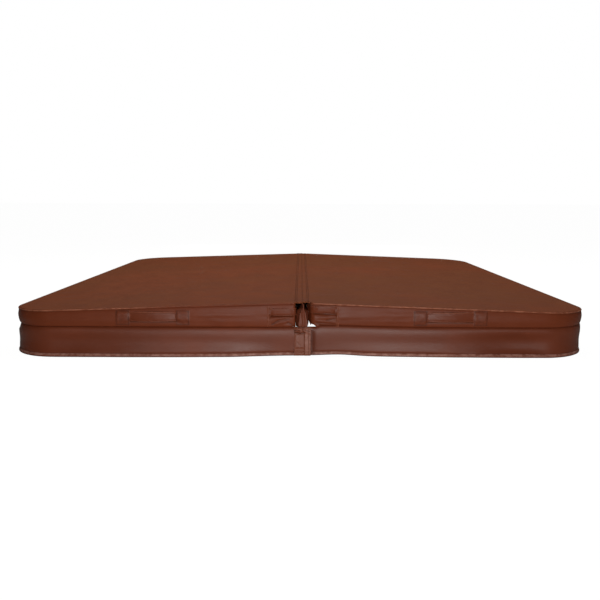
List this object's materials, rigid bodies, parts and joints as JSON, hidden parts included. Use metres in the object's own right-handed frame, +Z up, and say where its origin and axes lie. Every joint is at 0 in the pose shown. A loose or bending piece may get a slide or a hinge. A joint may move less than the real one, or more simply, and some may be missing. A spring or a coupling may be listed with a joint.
{
  "type": "spa cover",
  "caption": "Square bi-fold spa cover: tapered foam halves in stitched brown vinyl, joined along a fold, with handles, overlapping skirt flaps and tie-down straps.",
  "frame": {"origin": "centre of the footprint, at the skirt's bottom hem", "axes": "+Z up; +X from the left half to the right half, across the fold; +Y along the fold, away from the front"},
  "size_m": [2.388, 2.4186, 0.2247],
  "materials": {
    "cover_vinyl": "marine vinyl, leather grain, low sheen",
    "skirt_vinyl": "marine vinyl, leather grain, low sheen",
    "handle_vinyl": "doubled marine vinyl, stitched edges",
    "seal_vinyl": "marine vinyl, smooth folds",
    "underside_vinyl": "plain backing vinyl, matt",
    "foam": "moulded bead foam",
    "seal_foam": "soft closed-cell foam",
    "galvanised_steel": "galvanised sheet",
    "vapour_film": "heat-sealed polyethylene film",
    "webbing": "woven polypropylene webbing",
    "buckle_plastic": "moulded acetal",
    "zipper_tape": "woven polyester tape",
    "zipper_coil": "nylon coil",
    "zipper_metal": "dull nickel plate",
    "screen_plastic": "moulded mesh disc",
    "hook_and_loop": "woven pile tape"
  },
  "bodies": {
    "outer_handle_front_left": {"outer_handle_front_left": "handle_vinyl"},
    "tie_down_front_left": {"tie_buckle_front_left": "buckle_plastic", "tie_strap_front_left": "webbing"},
    "outer_handle_back_left": {"outer_handle_back_left": "handle_vinyl"},
    "tie_down_back_left": {"tie_buckle_back_left": "buckle_plastic", "tie_strap_back_left": "webbing"},
    "zip_slider_left": {"zipper_slider_left": "zipper_metal"},
    "zip_pull_left": {"zipper_pull_left": "zipper_metal"},
    "outer_handle_front_right": {"outer_handle_front_right": "handle_vinyl"},
    "tie_down_front_right": {"tie_buckle_front_right": "buckle_plastic", "tie_strap_front_right": "webbing"},
    "outer_handle_back_right": {"outer_handle_back_right": "handle_vinyl"},
    "tie_down_back_right": {"tie_buckle_back_right": "buckle_plastic", "tie_strap_back_right": "webbing"},
    "zip_slider_right": {"zipper_slider_right": "zipper_metal"},
    "zip_pull_right": {"zipper_pull_right": "zipper_metal"},
    "flap_front": {"flap_hook_front": "hook_and_loop", "skirt_flap_front": "skirt_vinyl"},
    "flap_back": {"flap_hook_back": "hook_and_loop", "skirt_flap_back": "skirt_vinyl"},
    "left_half": {"bottom_panel_left": "underside_vinyl", "drain_screens_left": "screen_plastic", "foam_core_left": "foam", "fold_band_left": "cover_vinyl", "fold_handle_back_left": "handle_vinyl", "fold_handle_front_left": "handle_vinyl", "handle_patches_left": "handle_vinyl", "heat_seal_core": "seal_foam", "heat_seal_ends": "seal_vinyl", "heat_seal_sleeve": "seal_vinyl", "hinge_leaf_left": "cover_vinyl", "side_band_left": "cover_vinyl", "skirt_left": "skirt_vinyl", "stiffener_channel_left": "galvanised_steel", "top_panel_left": "cover_vinyl", "vapour_wrap_left": "vapour_film", "zipper_chain_left": "zipper_coil", "zipper_tapes_left": "zipper_tape"},
    "right_half": {"bottom_panel_right": "underside_vinyl", "drain_screens_right": "screen_plastic", "flap_loops": "hook_and_loop", "foam_core_right": "foam", "fold_band_right": "cover_vinyl", "fold_handle_back_right": "handle_vinyl", "fold_handle_front_right": "handle_vinyl", "handle_patches_right": "handle_vinyl", "hinge_leaf_right": "cover_vinyl", "side_band_right": "cover_vinyl", "skirt_right": "skirt_vinyl", "stiffener_channel_right": "galvanised_steel", "top_panel_right": "cover_vinyl", "vapour_wrap_right": "vapour_film", "zipper_chain_right": "zipper_coil", "zipper_tapes_right": "zipper_tape"}
  },
  "joints": [
    {"name": "fold", "type": "hinge", "parent": "left_half", "child": "right_half", "pos_m": [0, 0, 0.22472], "axis": [0, -1, 0], "range_deg": [0, 179]},
    {"name": "outer_handle_front_left_lift", "type": "hinge", "parent": "left_half", "child": "outer_handle_front_left", "pos_m": [-0.598, -1.1958, 0.186], "axis": [-1, 0, 0], "range_deg": [0, 80]},
    {"name": "tie_down_front_left_swing", "type": "hinge", "parent": "left_half", "child": "tie_down_front_left", "pos_m": [-1.178, -0.7, 0.1211], "axis": [0, -1, 0], "range_deg": [0, 80]},
    {"name": "outer_handle_back_left_lift", "type": "hinge", "parent": "left_half", "child": "outer_handle_back_left", "pos_m": [-0.598, 1.1958, 0.186], "axis": [1, 0, 0], "range_deg": [0, 80]},
    {"name": "tie_down_back_left_swing", "type": "hinge", "parent": "left_half", "child": "tie_down_back_left", "pos_m": [-1.178, 0.7, 0.1211], "axis": [0, -1, 0], "range_deg": [0, 80]},
    {"name": "zip_left_slide", "type": "slide", "parent": "left_half", "child": "zip_slider_left", "axis": [0, 1, 0], "range_m": [0, 2.2432]},
    {"name": "zip_pull_left_swing", "type": "hinge", "parent": "zip_slider_left", "child": "zip_pull_left", "pos_m": [-0.0198, -1.1216, 0.199], "axis": [0, -1, 0], "range_deg": [0, 95]},
    {"name": "outer_handle_front_right_lift", "type": "hinge", "parent": "right_half", "child": "outer_handle_front_right", "pos_m": [0.598, -1.1958, 0.186], "axis": [-1, 0, 0], "range_deg": [0, 80]},
    {"name": "tie_down_front_right_swing", "type": "hinge", "parent": "right_half", "child": "tie_down_front_right", "pos_m": [1.178, -0.7, 0.1211], "axis": [0, 1, 0], "range_deg": [0, 80]},
    {"name": "outer_handle_back_right_lift", "type": "hinge", "parent": "right_half", "child": "outer_handle_back_right", "pos_m": [0.598, 1.1958, 0.186], "axis": [1, 0, 0], "range_deg": [0, 80]},
    {"name": "tie_down_back_right_swing", "type": "hinge", "parent": "right_half", "child": "tie_down_back_right", "pos_m": [1.178, 0.7, 0.1211], "axis": [0, 1, 0], "range_deg": [0, 80]},
    {"name": "zip_right_slide", "type": "slide", "parent": "right_half", "child": "zip_slider_right", "axis": [0, 1, 0], "range_m": [0, 2.2432]},
    {"name": "zip_pull_right_swing", "type": "hinge", "parent": "zip_slider_right", "child": "zip_pull_right", "pos_m": [0.0198, -1.1216, 0.199], "axis": [0, 1, 0], "range_deg": [0, 95]},
    {"name": "flap_front_swing", "type": "hinge", "parent": "left_half", "child": "flap_front", "pos_m": [-0.02985, -1.189, 0.0615], "axis": [0, 0, -1], "range_deg": [0, 120]},
    {"name": "flap_back_swing", "type": "hinge", "parent": "left_half", "child": "flap_back", "pos_m": [-0.02985, 1.189, 0.0615], "axis": [0, 0, 1], "range_deg": [0, 120]}
  ]
}
